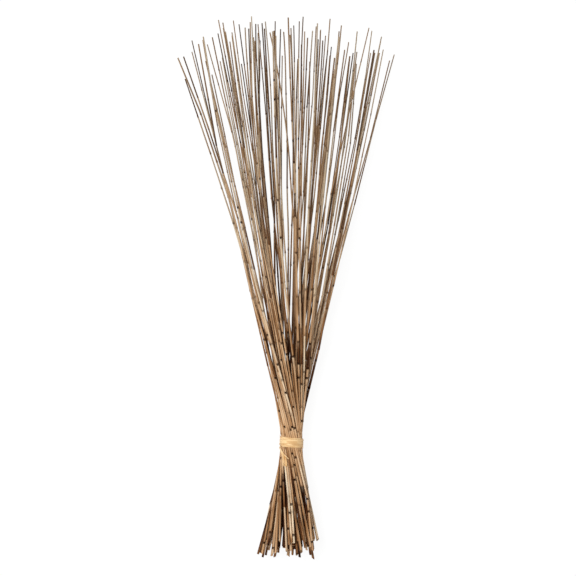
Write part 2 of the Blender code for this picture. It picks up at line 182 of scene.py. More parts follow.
# The joints seen plainest on the upper reeds: place sideways from the tie, and place along from it.
SEEN_JOINTS = (
    (-36, -195), (-44, -186), (26, -186), (38, -184), (6, -171), (-37, -166), (2, -166), (-8, -159),
    (39, -159), (-4, -130), (34, -128), (2, -115), (32, -105), (-21, -83), (-15, -72), (8, -70),
    (6, -43), (-21, -31), (9, -29), (3, -22), (-1, 22), (7, 25), (-11, 27), (1, 27),
    (20, 38), (-22, 56), (3, 64), (-10, 90), (33, 98), (20, 106), (-29, 117), (27, 117),
    (15, 118), (32, 126), (-34, 127), (27, 135), (37, 138), (-26, 142), (11, 144), (45, 149),
    (-20, 150), (1, 157), (-5, 161), (-43, 179), (36, 180), (-18, 181), (-45, 196), (-13, 200),
    (-8, 201), (12, 373), (-10, 374), (19, 390), (-89, 402), (-32, 402), (-76, 408), (-95, 429),
    (-18, 442), (-3, 453), (-52, 481), (14, 500), (1, 511), (-43, 516), (-91, 548), (5, 550),
    (19, 553), (-139, 605), (17, 619), (-17, 624), (-115, 659), (-23, 659),
)
SEEN_NEAR = 12.0  # a reed's own joint this near a seen one is the same joint
SEEN_FROM_END = 8.0
SEEN_WITHIN = 0.7  # a reed is at a place this share of its half thickness from its line
SEEN_ASIDE = 6.0  # past that, each step aside counts as this many down

# The tie's strand: each turn's middle along the bunch, its width, and the layer that it lies on.
TURNS = ((-7.0, 5.4, 0.0), (5.2, 5.2, 0.0), (-4.2, 5.8, 1.0), (2.2, 5.6, 1.0), (-0.9, 6.0, 2.0))
STRAND_THICKNESS = 0.55
LAYER = 0.42
STRAND_INSIDE = 20.55
TURN_STEPS = 90
PASSING = 0.16  # the share of a turn in which the strand passes to the next turn's place
WAVES = (1, 2, 3, 5, 8)  # how often the strand wavers in 1.7 turns
WAVE = (0.1, 0.3)
WAVER = 0.7  # how much of that moves the strand along the bunch
STRAND_POINTS = 40
STRAND_RIDGE = 0.09
STRAND_CUP = 0.16  # how far the strand's edges are curled down
STRAND_TONE = 0.25
FIBRE_SPACING = 0.95  # coarser than the real fibres, which are too fine to show
# The strand's end and the strips that it splits into: degrees left of the top, place along, width.
TAIL = ((76, -5.5, 4.2), (70, -11.5, 4.2), (60, -14.2, 4.4), (51, -17.6, 4.6), (43, -22.0, 4.4),
        (39, -28.0, 3.2), (38, -35.0, 2.7), (39, -45.0, 2.2))
LEAF = ((46, -19.5, 2.4), (36, -24.5, 2.8), (30, -30.0, 3.0), (26, -37.0, 4.6), (25, -45.0, 4.6))
SPLIT = ((46, -19.5, 1.8), (35, -23.6, 1.6), (24, -27.0, 1.5), (11, -31.5, 1.0))
TAIL_CLEARANCE = 0.7
TAIL_THICKNESS = 0.45
STRIP_STEPS = 10  # between two places of a route
STRIP_POINTS = 28
STRIP_RIDGE = 0.07
STRIP_END = (0.95, 0.85, 0.65, 0.3)  # how a strip narrows over its last steps
# Where fibres stand out of the wound turns: degrees left of the top, place along, how many, and the
# way that they go, in degrees and in millimetres along the bunch.
FRAYS = ((74, -8.6, 6, 14, -3.6), (88, -2.0, 3, 12, -4.0), (70, 8.0, 3, 8, 3.0),
         (-84, 1.5, 6, -14, 3.4), (-70, -9.0, 3, -10, -3.2))
FRAY_WIDTH = 0.7
FRAY_STRAY = (7.0, 1.5)  # how far from that place a fibre starts
FRAY_REACH = (0.5, 1.1)
FRAY_BEND = 0.12
FRAY_RISE = (0.4, 1.8)

# The stage, in metres.
FLOOR_CORNERS = ((-8, -8), (8, -8), (8, 8), (-8, 8))
FLOOR_LEVEL = -0.0004
KEY_PLACE = (-0.9, 0.1, 3.1)
CAMERA_PLACE = (-0.0064, 0.2826, 0.09)  # sideways and along from the tie, and up past its distance
SENSOR = 36.0  # in millimetres


def hex_colour(text):
    """Linear colour of an sRGB hex value: each channel c becomes ((c + 0.055) / 1.055) to the power 2.4."""
    channels = [int(text[i:i + 2], 16) / 255 for i in (1, 3, 5)]
    linear = [c / 12.92 if c <= 0.04045 else ((c + 0.055) / 1.055) ** 2.4 for c in channels]
    return (*linear, 1.0)


def set_node(tree, node, settings):
    """Sets a node's own values and its sockets, by name or number. A socket takes a value, or the output
    that feeds it."""
    for key, value in settings.items():
        if isinstance(key, str) and key not in node.inputs:
            setattr(node, key, value)
        elif isinstance(value, bpy.types.NodeSocket):
            tree.links.new(value, node.inputs[key])
        else:
            node.inputs[key].default_value = value


def add_node(tree, kind, settings, *inputs, output=0, stops=()):
    """Adds one node and gives one of its outputs. Inputs are for its first sockets, in their order, and
    stops are a colour ramp's places and hex values, lowest first."""
    node = tree.nodes.new(kind)
    set_node(tree, node, settings)
    set_node(tree, node, dict(enumerate(inputs)))
    for number, (place, colour) in enumerate(stops):
        elements = node.color_ramp.elements
        element = elements[number] if number < len(elements) else elements.new(place)
        element.position = place
        element.color = hex_colour(colour)
    return node.outputs[output]


def linked(name, data):
    """A new object in the scene, at the origin."""
    made = bpy.data.objects.new(name, data)
    bpy.context.scene.collection.objects.link(made)
    return made


def new_material(name):
    """An empty Principled material: its node tree and its shader."""
    material = bpy.data.materials.new(name)
    material.use_nodes = True
    return material, material.node_tree, material.node_tree.nodes["Principled BSDF"]


def skin_place(tree, around, along):
    """A place on a stem's skin for a pattern that closes round it: (a cos u, a sin u, b v).

    u is the turn round the stem and v the metres along it. a is half the number of patches that fit
    across the stem, and b is one over a patch's length."""
    uv = add_node(tree, "ShaderNodeUVMap", {"uv_map": "skin"})
    round_stem, up_stem = add_node(tree, "ShaderNodeSeparateXYZ", {}, uv).node.outputs[:2]
    turn = add_node(tree, "ShaderNodeMath", TIMES, round_stem, 2 * math.pi)
    aside = add_node(tree, "ShaderNodeMath", {"operation": "COSINE"}, turn)
    above = add_node(tree, "ShaderNodeMath", {"operation": "SINE"}, turn)
    places = [add_node(tree, "ShaderNodeMath", TIMES, way, patches)
              for way, patches in ((aside, around), (above, around), (up_stem, along))]
    return add_node(tree, "ShaderNodeCombineXYZ", {}, *places)


def dried_reed_skin(look):
    """Dried reed stem, as it grew: a smooth silica skin with a dull satin gloss over straw colours.

    The eye sees a near-black ring at most joints, stronger low on the stem, a red-brown sheath scar
    above it that fades within a few millimetres, a paler band below it, long streaks, and stained
    internodes."""
    material, tree, shader = new_material("dried_reed_skin")
    # The tone attribute holds painted shade and painted light as well as the reeds' own tones.
    above, below, tone, mark, height, stains = [
        add_node(tree, "ShaderNodeAttribute", {"attribute_name": name}, output="Fac")
        for name in ("above_joint", "below_joint", "tone", "mark", "height", "stains")]
    # Streaks: 0.5 mm across and 60 mm long. Bands: 2 mm across and 110 mm long. Stains: 4 mm by 25 mm.
    streak, band, stain = [
        add_node(tree, "ShaderNodeTexNoise", {"Scale": 1.0, "Detail": detail, "Roughness": roughness,
                                              "Vector": skin_place(tree, around, along)})
        for detail, roughness, around, along in ((3.0, 0.6, 3.2, 16.0), (1.0, 0.5, 1.1, 9.0),
                                                 (2.0, 0.55, 0.5, 38.0))]
    wander = add_node(tree, "ShaderNodeMath", {"operation": "MULTIPLY_ADD"}, stain, 0.5, -0.25)
    bands = add_node(tree, "ShaderNodeMapRange", SMOOTH, band, 0.34, 0.66, -0.13, 0.13)
    banded = add_node(tree, "ShaderNodeMath", {"operation": "ADD"}, wander, bands)
    stained = add_node(tree, "ShaderNodeMath", TIMES, banded, stains)
    shade = add_node(tree, "ShaderNodeMath", {"operation": "ADD", "use_clamp": True}, tone, stained)
    skin = add_node(tree, "ShaderNodeValToRGB", {}, shade, stops=(
        (0.0, "#290C01"), (0.2, "#5A2F14"), (0.45, "#A27449"), (0.7, "#D4AB80"), (1.0, "#F5E0C0")))
    weathering = add_node(tree, "ShaderNodeMapRange", SMOOTH, height, 0.25, 0.95, 0.0, look.weathering)
    # The pale band reaches 14 mm down from a joint and the scar 10 mm up from it.
    pale = add_node(tree, "ShaderNodeMapRange", SMOOTH, below, 14.0, 1.0, 0.0, 0.18)
    scar = add_node(tree, "ShaderNodeMapRange", SMOOTH, above, 10.0, 1.0, 0.0, 0.35)
    ring_above, ring_below = [
        add_node(tree, "ShaderNodeMapRange", SMOOTH, away, look.ring_height * end, look.ring_height * start)
        for away, end, start in ((above, 1.25, 0.8), (below, 0.85, 0.45))]
    ring = add_node(tree, "ShaderNodeMath", {"operation": "MAXIMUM"}, ring_above, ring_below)
    marked = add_node(tree, "ShaderNodeMath", TIMES, ring, mark)
    fine = add_node(tree, "ShaderNodeMapRange", SMOOTH, streak, 0.6, 0.36, 0.0, look.streaks)
    streaked = add_node(tree, "ShaderNodeMath", TIMES, fine, stains)
    # Each colour lies over the ones before it, by its amount.
    for amount, over, blend in ((weathering, "#705D47", "MIX"), (pale, "#E6CFAE", "MIX"),
                                (scar, "#663E22", "MIX"), (marked, "#200A02", "MIX"),
                                (streaked, "#5A2C12", "MULTIPLY")):
        skin = add_node(tree, "ShaderNodeMix", {"data_type": "RGBA", "blend_type": blend, 0: amount,
                                                6: skin, 7: hex_colour(over)}, output=2)
    set_node(tree, shader, {
        "Base Color": skin, "Specular IOR Level": 0.1, "Specular Tint": hex_colour("#FFE9CC"),
        "Roughness": add_node(tree, "ShaderNodeMapRange", SMOOTH, ring, 0.0, 1.0, 0.4, 0.9),
        "Normal": add_node(tree, "ShaderNodeBump", {"Strength": 0.35, "Distance": 0.05 * MM,
                                                    "Height": streak})})
    return material


def reed_pith():
    """The inside of a cut reed: dry, woody and dull, pale at the cut, with painted shade darkening it in the
    hollow.
    """
    material, tree, shader = new_material("reed_pith")
    cut = add_node(tree, "ShaderNodeAttribute", {"attribute_name": "cut"}, output="Fac")
    place = add_node(tree, "ShaderNodeTexCoord", {}, output="Object")
    # Grain: 0.4 mm.
    grain = add_node(tree, "ShaderNodeTexNoise", {"Scale": 2500.0, "Detail": 2.0, "Vector": place})
    woody = add_node(tree, "ShaderNodeValToRGB", {}, grain, stops=((0.3, "#86643F"), (0.7, "#C7A274")))
    # Down in the hollow the pith is painted near black: painted shade.
    shown = add_node(tree, "ShaderNodeMix", {"data_type": "RGBA", 0: cut, 6: hex_colour("#2A170B"),
                                             7: woody}, output=2)
    set_node(tree, shader, {"Base Color": shown, "Roughness": 0.9})
    return material


def raffia_fibre(look):
    """Raffia: a strip peeled from a palm leaf and dried, flat, dull and split into long fibres.

    The eye sees warm straw yellow in fine lines along the strand, with a painted highlight on its raised
    fibres."""
    material, tree, shader = new_material("raffia_fibre")
    uv = add_node(tree, "ShaderNodeUVMap", {"uv_map": "skin"})
    # Fibres: about 0.5 mm apart across the strand, and long along it. Patches: the whole strand wide.
    fibre, patch = [
        add_node(tree, "ShaderNodeTexNoise", {
            "Scale": 1.0, "Detail": detail, "Roughness": roughness,
            "Vector": add_node(tree, "ShaderNodeMapping", {"Scale": scale, "Vector": uv})})
        for detail, roughness, scale in ((4.0, 0.65, (13.0, 40.0, 1.0)), (1.0, 0.5, (1.0, 60.0, 1.0)))]
    tone = add_node(tree, "ShaderNodeAttribute", {"attribute_name": "tone"}, output="Fac")
    patches = add_node(tree, "ShaderNodeMapRange", SMOOTH, patch, 0.35, 0.65, -0.25, 0.25)
    uneven = add_node(tree, "ShaderNodeMath", {"operation": "ADD", "use_clamp": True}, patches, tone)
    lines = add_node(tree, "ShaderNodeMapRange", SMOOTH, fibre, 0.62, 0.36, 0.0, 0.38)
    # Painted highlight: the raised fibres are painted lighter.
    painted_highlights = add_node(tree, "ShaderNodeMapRange", SMOOTH, fibre, 0.58, 0.75, 0.0, 0.5)
    colour = look.strand
    for amount, over in ((uneven, look.strand_shade), (lines, hex_colour("#A06A30")),
                         (painted_highlights, hex_colour("#FBDCA6"))):
        colour = add_node(tree, "ShaderNodeMix", {"data_type": "RGBA", 0: amount, 6: colour, 7: over},
                          output=2)
    set_node(tree, shader, {
        "Base Color": colour, "Roughness": 0.7, "Sheen Weight": 0.15,
        "Normal": add_node(tree, "ShaderNodeBump", {"Strength": 0.6, "Distance": 0.1 * MM,
                                                    "Height": fibre})})
    return material


def tie_place():
    """The middle of the tie in the scene, in millimetres: the band's own place sideways and along."""
    low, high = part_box("raffia_tie")
    return np.array([(low.x + high.x) / 2 / MM, high.y / MM - BAND_TOP, TIE_HEIGHT])


def solid_line(node):
    """The rings of a reed's solid, butt first: their centres and half thicknesses, in millimetres.

    The solid's points are sorted along the reed and taken six at a time."""
    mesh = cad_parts[node].data
    points = np.empty(len(mesh.vertices) * 3, np.float32)
    mesh.vertices.foreach_get("co", points)
    points = np.unique(points.reshape(-1, 3), axis=0).astype(float) / MM
    if len(points) != RINGS_OF_SOLID * SIDES_OF_SOLID:
        raise RuntimeError(f"{node} has {len(points)} points")
    along = points[points[:, 1].argmax()] - points[points[:, 1].argmin()]
    points = points[np.argsort(points @ along)]
    rings = points.reshape(RINGS_OF_SOLID, SIDES_OF_SOLID, 3)
    centres = rings.mean(axis=1)
    halves = np.linalg.norm(rings - centres[:, None], axis=2)
    if np.ptp(halves, axis=1).max() > RING_TOLERANCE:
        raise RuntimeError(f"the rings of {node} were not told apart")
    return centres, halves.mean(axis=1)


def solid_nodes():
    """Names of the frame's reeds, in order."""
    return sorted(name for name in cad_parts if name.startswith("reed_"))


def settled(paths, room, inside, others, other_room, other_inside):
    """Lines of reeds after they have pushed each other and the fixed reeds apart.

    Every line is a row of places at equal levels. In each round a place moves out of the discs of the
    others at its level by half the overlap, by all of it from a fixed one, then a share of the way to the
    mean of its neighbours along the reed, and a little back to where it started."""
    start = paths.copy()
    own_wanted = room[:, None] + room[None] + CONTACT
    other_wanted = room[:, None] + other_room[None] + CONTACT
    own_meet = inside[:, None] & inside[None] & ~np.eye(len(paths), dtype=bool)[:, :, None]
    other_meet = inside[:, None] & other_inside[None]
    for _ in range(ROUNDS):
        move = np.zeros_like(paths)
        count = np.zeros(paths.shape[:2])
        for rest, wanted, meet, part in ((paths, own_wanted, own_meet, 0.5),
                                         (others, other_wanted, other_meet, 1.0)):
            apart = paths[:, None] - rest[None]
            distance = np.maximum(np.linalg.norm(apart, axis=3), 1e-6)
            short = np.where(meet, np.maximum(wanted - distance, 0.0), 0.0)
            move += (apart * (part * short / distance)[..., None]).sum(axis=1)
            count += (short > 0).sum(axis=1)
        paths = paths + move / np.maximum(count, 1.0)[..., None] * PUSH
        middle = 0.5 * (paths[:, 2:] + paths[:, :-2])
        paths[:, 1:-1] += STRETCH * (middle - paths[:, 1:-1])
        paths += PULL * (start - paths)
        paths[..., 1] = np.maximum(paths[..., 1], room)
    return paths


def inner_lines(rng):
    """Lines and half thicknesses of the inner reeds, in the scene's place, in millimetres.

    A reed is straight from its place in the tie to its place at the shoulder, with a bow that grows
    with the cube of the distance. Its place in the tie is its place in the fan, shrunk and given a
    quarter turn. The lines then settle between the fixed reeds."""
    fixed = [solid_line(node) for node in solid_nodes()]
    tip_x, tip, shoulder_x = np.array(REEDS, float).T
    sideways = shoulder_x / SHOULDER
    reach = np.sqrt(FAN_SLOPE**2 - (sideways - FAN_LEAN) ** 2)
    layer = (np.arange(len(REEDS)) + 1) * DEPTH_STEP % 1.0
    depth = reach * (2.0 * layer - 1.0)
    outward = np.hypot(sideways - FAN_LEAN, depth)
    inner = np.sort(np.argsort(-outward, kind="stable")[len(fixed):])
    laws = (tip_x, tip, shoulder_x, sideways, depth)
    tip_x, tip, shoulder_x, sideways, depth = (law[inner] for law in laws)
    shrink = (TIE_RADIUS - TIE_MARGIN) / FAN_SLOPE
    at_tie = np.stack([depth, FAN_LEAN - sideways], axis=1) * shrink
    butt = BUTT_AT[0] + (BUTT_AT[1] - BUTT_AT[0]) * rng.random(len(inner)) ** BUTT_POWER
    scale = rng.uniform(*INNER_THICKNESS, len(inner))
    levels = np.arange(BUTT_AT[0], tip.max() + LEVEL_STEP, LEVEL_STEP)
    mean = (shoulder_x - at_tie[:, 0]) / SHOULDER
    bow = ((tip_x - at_tie[:, 0]) / tip - mean) / (tip**2 - SHOULDER**2)
    slope = mean - bow * SHOULDER**2
    above = np.maximum(levels, 0.0)
    below = np.minimum(levels, 0.0)
    run = above + BUTT_NARROWING * below
    x = at_tie[:, :1] + slope[:, None] * run + bow[:, None] * above**3 + BUTT_LEAN * below
    rise = depth - at_tie[:, 1] / SHOULDER
    z = TIE_HEIGHT + at_tie[:, 1:] + rise[:, None] * run - SAG * (above / SAG_AT) ** SAG_POWER
    half = np.interp(levels, THICKNESS_AT, HALF_THICKNESS) * scale[:, None]
    z = half + BED_SOFTNESS * np.logaddexp(0.0, (z - half) / BED_SOFTNESS)
    knots = np.linspace(*KINKS_FROM_TO, KINKS)
    for at in range(len(inner)):
        for way in (x, z):
            strayed = rng.normal(0, KINK, KINKS) * (abs(knots) > STRAIGHT_AT_TIE)
            way[at] += np.interp(levels, knots, strayed)
    inside = (levels >= butt[:, None] - LEVEL_STEP) & (levels <= tip[:, None] + LEVEL_STEP)
    middle = tie_place()
    others = np.empty((len(fixed), len(levels), 2))
    other_room = np.empty(others.shape[:2])
    other_inside = np.empty(others.shape[:2], bool)
    for at, (centres, halves) in enumerate(fixed):
        here = centres[:, 1] - middle[1]
        others[at, :, 0] = np.interp(levels, here, centres[:, 0]) - middle[0]
        others[at, :, 1] = np.interp(levels, here, centres[:, 2])
        other_room[at] = np.interp(levels, here, halves)
        other_inside[at] = (levels >= here[0]) & (levels <= here[-1])
    paths = settled(np.stack([x, z], axis=2), half, inside, others, other_room, other_inside)
    lines = []
    for at in range(len(inner)):
        between = levels[(levels > butt[at]) & (levels < tip[at])]
        ends = np.concatenate([[butt[at]], between, [tip[at]]])
        centres = np.column_stack([np.interp(ends, levels, paths[at, :, 0]) + middle[0],
                                   ends + middle[1],
                                   np.interp(ends, levels, paths[at, :, 1])])
        lines.append((centres, np.interp(ends, levels, half[at])))
    return lines


def joint_places(stops, seen, rng):
    """Joints along a reed and which of them are the plainest.

    They are the joints of its solid, one in each long stretch between them, and the seen ones."""
    joints = list(stops[1:-1])
    for start, end in zip(stops[:-1], stops[1:]):
        if end - start > EXTRA_JOINT_FROM:
            joints.append(start + (end - start) * rng.uniform(*EXTRA_JOINT_AT))
    seen = np.array(seen)
    own = np.array([place for place in joints if not (abs(seen - place) < SEEN_NEAR).any()])
    places = np.concatenate([own, seen])
    order = np.argsort(places)
    return places[order], order >= len(own)


def seen_on(lines):
    """The seen joints of each line: each joint is on the highest of the reeds that pass through its place."""
    middle = tie_place()
    found = [[] for _ in lines]
    for sideways, along in SEEN_JOINTS:
        level = middle[1] + along
        best = None
        for number, (centres, halves) in enumerate(lines):
            if not centres[0, 1] + SEEN_FROM_END < level < centres[-1, 1] - SEEN_FROM_END:
                continue
            rows = (centres[:, 0], centres[:, 2], halves)
            x, height, half = (np.interp(level, centres[:, 1], row) for row in rows)
            aside = max(abs(x - middle[0] - sideways) - SEEN_WITHIN * half, 0.0)
            score = height - SEEN_ASIDE * aside
            if best is None or score > best[0]:
                best = (score, number, level)
        if all(abs(best[2] - other) > SEEN_NEAR for other in found[best[1]]):
            found[best[1]].append(best[2])
    return found


def reed_levels(butt, joints, tip):
    """Levels of the rings along a reed, with their distances above and below a joint.

    Rings are close together at a joint and evenly spread between."""
    stops = np.concatenate([[butt], joints, [tip]])
    start = stops[:-1, None]
    length = np.diff(stops)[:, None]
    above = np.minimum(ABOVE_JOINT, NEAR_JOINT * length)
    below = length - np.minimum(BELOW_JOINT[::-1], NEAR_JOINT * length)
    between = above[:, -1:] + (below[:, :1] - above[:, -1:]) * BETWEEN
    over = np.concatenate([above, between, below], axis=1)
    levels = (start + over).ravel()
    under = length - over
    over[0] += NO_JOINT
    under[-1] += NO_JOINT
    internode = np.repeat(np.arange(len(joints) + 1), over.shape[1])
    return (np.append(levels, tip), np.append(over.ravel(), over[-1, -1] + BELOW_JOINT[0]),
            np.append(under.ravel(), NO_JOINT), np.append(internode, internode[-1]))


def reed_surface(name, line, joints, plainest, shade, rng, look, materials):
    """One reed as one closed surface.

    A point lies at centre(v) + r(u, v) (cos u across + sin u up): v runs along the reed and u around it.
    r is the stem's half thickness, raised in a ring at each joint, swollen just above it, drawn in just
    below it, and with a bud above it on the left and on the right in turn. The butt is cut aslant and
    hollow."""
    centres, halves = line
    along = centres[:, 1]
    levels, over, under, internode = reed_levels(along[0], joints, along[-1])
    half = np.interp(levels, along, halves) + look.growth / MM
    nearest = np.minimum(over, under)
    half *= (1 + look.ring_rise * np.exp(-(nearest / JOINT_RING) ** 2)
             + SWOLLEN[0] * np.exp(-over / SWOLLEN[1]) - DRAWN_IN[0] * np.exp(-under / DRAWN_IN[1]))
    depth, share, hollow_painted_light = np.array(HOLLOW).T
    levels = np.concatenate([levels[0] + depth, levels[:1] + RIM, levels[1:], levels[-1:] + TIP[0]])
    half = np.concatenate([half[0] * share, half, half[-1:] * TIP[1]])
    pad = len(HOLLOW)
    over = np.concatenate([np.full(pad, NO_JOINT), over, over[-1:]])
    under = np.concatenate([np.full(pad, NO_JOINT), under, under[-1:]])
    internode = np.concatenate([np.zeros(pad, int), internode, internode[-1:]])
    middle = np.column_stack([np.interp(levels, along, centres[:, 0]), levels,
                              np.interp(levels, along, centres[:, 2])])
    smooth = np.column_stack([np.interp(levels + EASED, along, way) - np.interp(levels - EASED, along, way)
                              for way in centres.T])
    smooth[:, 1] = np.maximum(smooth[:, 1], 1.0)
    tangent = smooth / np.linalg.norm(smooth, axis=1)[:, None]
    up = np.array([0.0, 0.0, 1.0]) - tangent * tangent[:, 2:]
    up /= np.linalg.norm(up, axis=1)[:, None]
    across = np.cross(tangent, up)
    turn = np.arange(SIDES) * (2 * math.pi / SIDES) + rng.uniform(0, 2 * math.pi)
    # Joint number k lies below internode k. The buds of the plainest joints face up.
    joint = internode + (under < over)
    plainest = np.concatenate([[False], plainest, [False]])
    side = rng.uniform(0, 2 * math.pi) + np.arange(len(plainest)) * math.pi
    bud_side = np.where(plainest, 0.5 * math.pi, side) + rng.uniform(-0.6, 0.6, len(plainest))
    away = np.angle(np.exp(1j * (turn - bud_side[joint][:, None])))
    bud = look.bud / MM * np.exp(-(away / BUD_WIDTH) ** 2 - ((over[:, None] - BUD_RISE) / BUD_LENGTH) ** 2)
    radius = half[:, None] + bud
    radius[:pad] = half[:pad, None]
    points = middle[:, None] + radius[..., None] * (np.cos(turn)[:, None] * across[:, None]
                                                    + np.sin(turn)[:, None] * up[:, None])
    end = np.arange(len(levels)) < pad + 2
    points[end, :, 1] += rng.uniform(0, SLANTED_CUT) * radius[end] * np.cos(turn + rng.uniform(0, 6))
    points[..., 2] = np.maximum(points[..., 2], 0.0)  # rings and buds on the floor are pressed flat
    # The inner reeds start darker by their painted shade, as they lie in the shade of the outer ones.
    tone = np.clip(rng.normal(look.tone - shade, REED_SPREAD), *REED_TONES)
    tone = tone + rng.normal(0, INTERNODE_SPREAD, len(plainest))
    tone = np.where(rng.random(len(tone)) < look.stained, tone - STAIN, tone)[internode]
    even = np.exp(-((levels - tie_place()[1]) / EVEN_NEAR_TIE) ** 2)
    tone += (look.tone - tone) * EVEN_TONE * even
    dark_butt = (rng.random() < DARK_BUTTS) * rng.uniform(*DARK_BUTT)
    tone -= dark_butt * np.exp(-((levels - along[0]) / DARK_BUTT_REACH) ** 2)
    height = (levels - levels[0]) / np.ptp(levels)
    # Darker towards the butt; the inner reeds get painted shade on top of that.
    tone -= (look.foot_shade + INNER_FOOT_PAINTED_SHADE * shade) * np.clip(1 - height / FOOT_SHARE, 0, 1)
    tone += (tone - look.tone) * np.interp(height, TONE_AT, TONE_SPREAD)
    # Painted shade at the foot and above the tie and painted light where the fan opens, more on the inner
    # reeds.
    tone += np.interp(height, TONE_AT, PAINTED_SHADE_AND_LIGHT) * (1 + INNER_PAINTED_GAIN * shade)
    # A joint's ring is darkest round its bud.
    marks = np.where(plainest, 1.0, np.minimum(rng.uniform(*MARKS, len(plainest)), MARK_MOST))[joint]
    marks *= np.where(plainest[joint], 1.0, np.interp(height, MARK_AT, MARK_STRENGTH))
    mark = marks[:, None] * (BEHIND_BUD + (1 - BEHIND_BUD) * np.exp(-(away / BUD_SIDE) ** 2))
    cut = np.ones(len(levels))
    # The hollow's rings take its painted light, so that it is painted darker the deeper it goes.
    cut[:pad] = hollow_painted_light
    values = {"above_joint": over, "below_joint": under, "tone": tone, "height": height, "mark": mark,
              "stains": 1 - EVEN_STAINS * even, "cut": cut}
    around = np.arange(SIDES + 1) / SIDES
    lengthwise = (levels + rng.uniform(0, UNLIKE)) * MM
    return grid_mesh(name, points * MM, values, around, lengthwise, materials, pad - 1)


def grid_mesh(name, points, values, around, lengthwise, materials, inner):
    """A closed tube of quads with an end face at each end. points is rings by sides by 3, and inner is
    how many rows of faces, besides the ends, take the last material."""
    rings, sides = points.shape[:2]
    ring = np.arange(rings - 1)[:, None]
    side = np.arange(sides)
    after = (side + 1) % sides
    quads = np.stack([ring * sides + side, (ring + 1) * sides + side,
                      (ring + 1) * sides + after, ring * sides + after], axis=2).reshape(-1, 4)
    count = len(quads)
    loops = np.concatenate([quads.ravel(), np.arange(sides), (rings - 1) * sides + np.arange(sides)[::-1]])
    totals = np.concatenate([np.full(count, 4), [sides, sides]])
    mesh = bpy.data.meshes.new(name)
    mesh.vertices.add(rings * sides)
    mesh.vertices.foreach_set("co", points.reshape(-1).astype(np.float32))
    mesh.loops.add(len(loops))
    mesh.loops.foreach_set("vertex_index", loops.astype(np.int32))
    mesh.polygons.add(count + 2)
    mesh.polygons.foreach_set("loop_start", np.concatenate([[0], np.cumsum(totals)[:-1]]).astype(np.int32))
    pith = np.zeros(count + 2, np.int32)
    pith[:inner * sides] = len(materials) - 1
    pith[count:] = len(materials) - 1
    mesh.polygons.foreach_set("material_index", pith)
    mesh.polygons.foreach_set("use_smooth", np.append(np.ones(count, bool), [False, False]))
    u = np.broadcast_to(around, (rings, sides + 1))
    v = np.broadcast_to(lengthwise[:, None], (rings, sides + 1))
    corner = [(ring, side), (ring + 1, side), (ring + 1, side + 1), (ring, side + 1)]
    uv = np.stack([np.stack([u[a, b], v[a, b]], axis=-1) for a, b in corner], axis=2).reshape(-1, 2)
    ends = np.zeros((2 * sides, 2))
    skin = mesh.uv_layers.new(name="skin")
    skin.data.foreach_set("uv", np.concatenate([uv, ends]).astype(np.float32).ravel())
    for key, value in values.items():
        attribute = mesh.attributes.new(key, "FLOAT", "POINT")
        everywhere = np.broadcast_to(value.reshape(rings, -1), (rings, sides))
        attribute.data.foreach_set("value", everywhere.astype(np.float32).ravel())
    for material in materials:
        mesh.materials.append(material)
    mesh.update(calc_edges=True)
    mesh.validate()
    return linked(name, mesh)


def around_tie(arc, along, radius):
    """Places round the tie: arc is measured from the top to the left at the tie's radius."""
    turn = arc / TIE_RADIUS
    x = -radius * np.sin(turn)
    place = np.stack([x, along, radius * np.cos(turn)], axis=-1)
    return place + tie_place()


def reeds_under(arc, along):
    """How far from the tie's axis the outer reeds stand out at each place, by where their sections reach."""
    middle = tie_place()
    turn = arc / TIE_RADIUS
    farthest = np.full(turn.shape, TIE_RADIUS)
    for node in solid_nodes():
        centres, halves = solid_line(node)
        here = centres[:, 1] - middle[1]
        x = np.interp(along, here, centres[:, 0]) - middle[0]
        rise = np.interp(along, here, centres[:, 2]) - TIE_HEIGHT
        radius = np.interp(along, here, halves) + TAIL_CLEARANCE
        aside = x * np.cos(turn) + rise * np.sin(turn)
        out = rise * np.cos(turn) - x * np.sin(turn) + np.sqrt(np.maximum(radius**2 - aside**2, 0.0))
        farthest = np.where(abs(aside) < radius, np.maximum(farthest, out), farthest)
    return farthest


def strand_section(count):
    """A flat section: places across from -1 to 1 and back, and the side, 1 on top and -1 beneath."""
    turn = np.arange(count) * (2 * math.pi / count)
    across = np.sign(np.cos(turn)) * abs(np.cos(turn)) ** 0.7
    lift = np.sign(np.sin(turn)) * abs(np.sin(turn)) ** 0.5
    return across, lift


def wound_turns(rng, materials):
    """The wound strand: a flat section carried round the tie.

    At angle t its middle lies at radius R + layer(t) and at a(t) along the bunch, where a and the layer
    pass from one turn's to the next under the bunch. The top carries ridges, the fibres."""
    places, widths, layers = np.array(TURNS).T
    share = np.arange(len(TURNS) * TURN_STEPS + 1) / TURN_STEPS
    turn = share * 2 * math.pi + math.pi
    index = np.minimum(share.astype(int), len(TURNS) - 1)
    after = np.minimum(index + 1, len(TURNS) - 1)
    blend = np.clip((share - index - 1 + PASSING) / PASSING, 0, 1)
    blend = blend * blend * (3 - 2 * blend)
    wobble = sum(rng.uniform(*WAVE) * np.sin(turn * k / 1.7 + rng.uniform(0, 6)) for k in WAVES)
    middle = places[index] * (1 - blend) + places[after] * blend + WAVER * wobble
    width = widths[index] * (1 - blend) + widths[after] * blend + wobble[::-1]
    layer = layers[index] * (1 - blend) + layers[after] * blend
    across, lift = strand_section(STRAND_POINTS)
    offset = across * width[:, None] / 2
    phase = rng.uniform(0, 6) + 2.0 * wobble[:, None]
    ridge = STRAND_RIDGE * np.sin(offset * 2 * math.pi / FIBRE_SPACING + phase) * (1 - across ** 4)
    cup = STRAND_CUP * across ** 2
    up = lift * (STRAND_THICKNESS / 2) + np.where(lift > 0, ridge, 0.0) - cup
    radius = STRAND_INSIDE + STRAND_THICKNESS / 2 + layer[:, None] * LAYER + up
    points = around_tie((turn * TIE_RADIUS)[:, None], middle[:, None] + offset, radius)
    points[..., 1] += BAND_SLANT * (points[..., 0] - tie_place()[0])
    length = turn * STRAND_INSIDE * MM
    return strand_mesh("wound_turns", points, length, STRAND_TONE, materials)


